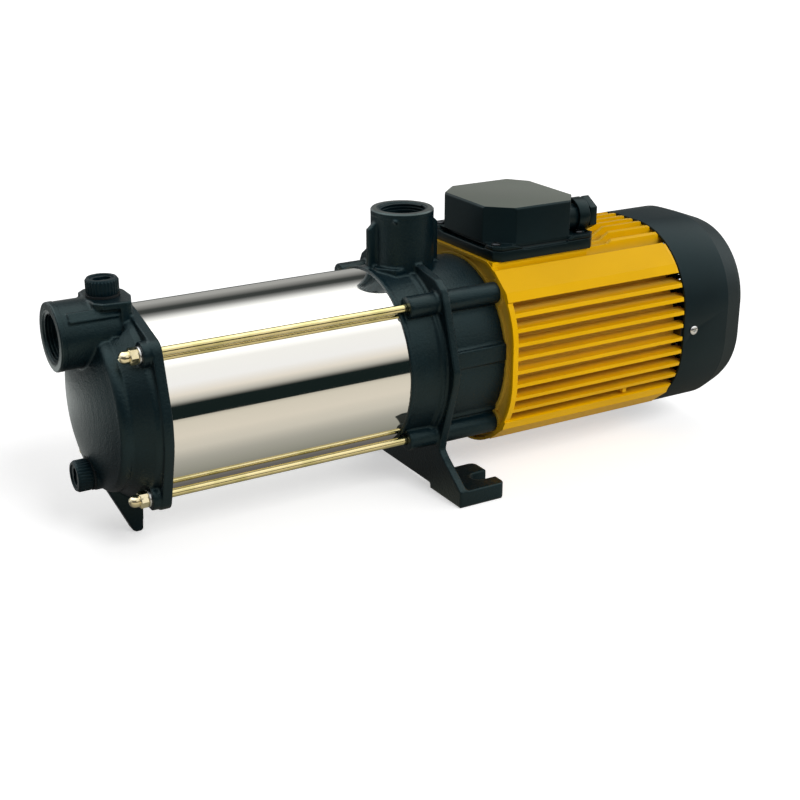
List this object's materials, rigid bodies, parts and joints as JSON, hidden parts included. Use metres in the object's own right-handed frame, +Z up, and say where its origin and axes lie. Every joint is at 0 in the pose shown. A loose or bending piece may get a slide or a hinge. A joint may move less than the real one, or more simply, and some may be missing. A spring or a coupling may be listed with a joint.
{
  "type": "horizontal multistage pump",
  "caption": "Horizontal multistage centrifugal water pump with a polished sleeve, tie rods, a cast bracket with foot, a finned motor and a terminal box.",
  "frame": {"origin": "on the ground, midway between the two foot slots, under the shaft axis", "axes": "+X along the shaft from the suction port to the fan cover, +Z up, +Y to the pump's left seen from the motor end"},
  "size_m": [0.537, 0.175, 0.204],
  "materials": {
    "cast_black": "satin black paint with a green tint",
    "plug_black": "satin black",
    "sleeve_steel": "mirror polished stainless",
    "zinc_yellow": "yellow zinc plating",
    "bright_steel": "bright",
    "stage_steel": "pressed stainless",
    "shaft_steel": "ground",
    "lamination": "stacked sheet",
    "copper": "varnished copper wire",
    "seal_carbon": "carbon",
    "seal_ceramic": "ceramic",
    "rubber_black": "matt",
    "diffuser_plastic": "moulded",
    "motor_yellow": "glossy yellow paint",
    "shield_aluminium": "as cast",
    "fan_plastic": "moulded",
    "cover_plastic": "satin dark grey",
    "box_plastic": "satin black",
    "block_plastic": "moulded",
    "stud_brass": "bright"
  },
  "bodies": {
    "pump": {"suction_cover": "cast_black", "outer_sleeve": "sleeve_steel", "sleeve_ring_front": "rubber_black", "sleeve_ring_rear": "rubber_black", "tie_rods": "zinc_yellow", "cap_nuts": "zinc_yellow", "rod_washers": "bright_steel", "discharge_bracket": "cast_black", "seal_seat": "seal_ceramic", "seal_seat_ring": "rubber_black", "inlet_ring": "stage_steel", "stage_casing_1": "stage_steel", "stage_casing_2": "stage_steel", "stage_casing_3": "stage_steel", "stage_casing_4": "stage_steel", "stage_casing_5": "stage_steel", "diffuser_1": "diffuser_plastic", "diffuser_2": "diffuser_plastic", "diffuser_3": "diffuser_plastic", "diffuser_4": "diffuser_plastic", "diffuser_5": "diffuser_plastic", "stator_core": "lamination", "stator_windings": "copper", "front_bearing_outer": "bright_steel", "rear_bearing_outer": "bright_steel", "motor_housing": "motor_yellow", "flange_bolts": "bright_steel", "rear_shield": "shield_aluminium", "fan_cover": "cover_plastic", "fan_cover_screws": "bright_steel", "terminal_box_base": "box_plastic", "terminal_box_gasket": "rubber_black", "terminal_box_cover": "box_plastic", "terminal_cover_screws": "bright_steel", "terminal_block": "block_plastic", "terminal_studs": "stud_brass", "gland_body": "box_plastic", "gland_seal": "rubber_black", "gland_nut": "box_plastic"},
    "rotor": {"shaft": "shaft_steel", "impeller_nut": "stage_steel", "impeller_spacers": "stage_steel", "impeller_1": "stage_steel", "impeller_2": "stage_steel", "impeller_3": "stage_steel", "impeller_4": "stage_steel", "impeller_5": "stage_steel", "seal_head": "seal_carbon", "seal_spring": "bright_steel", "front_bearing_inner": "bright_steel", "front_bearing_balls": "bright_steel", "rear_bearing_inner": "bright_steel", "rear_bearing_balls": "bright_steel", "rotor_core": "lamination", "fan": "fan_plastic"},
    "priming_ring": {"priming_plug_ring": "rubber_black"},
    "priming_plug": {"priming_plug": "plug_black"},
    "drain_ring": {"drain_plug_ring": "rubber_black"},
    "drain_plug": {"drain_plug": "plug_black"}
  },
  "joints": [
    {"name": "shaft_spin", "type": "hinge", "parent": "pump", "child": "rotor", "pos_m": [0, 0, 0.095], "axis": [1, 0, 0], "continuous": true},
    {"name": "priming_plug_lift", "type": "slide", "parent": "pump", "child": "priming_ring", "axis": [0, 0, 1], "range_m": [0, 0.0108]},
    {"name": "priming_plug_turn", "type": "hinge", "parent": "priming_ring", "child": "priming_plug", "pos_m": [-0.252, 0, 0.1714], "axis": [0, 0, 1], "range_deg": [0, 2880]},
    {"name": "drain_plug_draw", "type": "slide", "parent": "pump", "child": "drain_ring", "axis": [-1, 0, 0], "range_m": [0, 0.0108]},
    {"name": "drain_plug_turn", "type": "hinge", "parent": "drain_ring", "child": "drain_plug", "pos_m": [-0.2696, 0, 0.049], "axis": [-1, 0, 0], "range_deg": [0, 2880]}
  ],
  "couplings": [
    {"joint": "priming_plug_lift", "follows": "priming_plug_turn", "m_per_rad": 0.00021279},
    {"joint": "drain_plug_draw", "follows": "drain_plug_turn", "m_per_rad": 0.00021279}
  ]
}
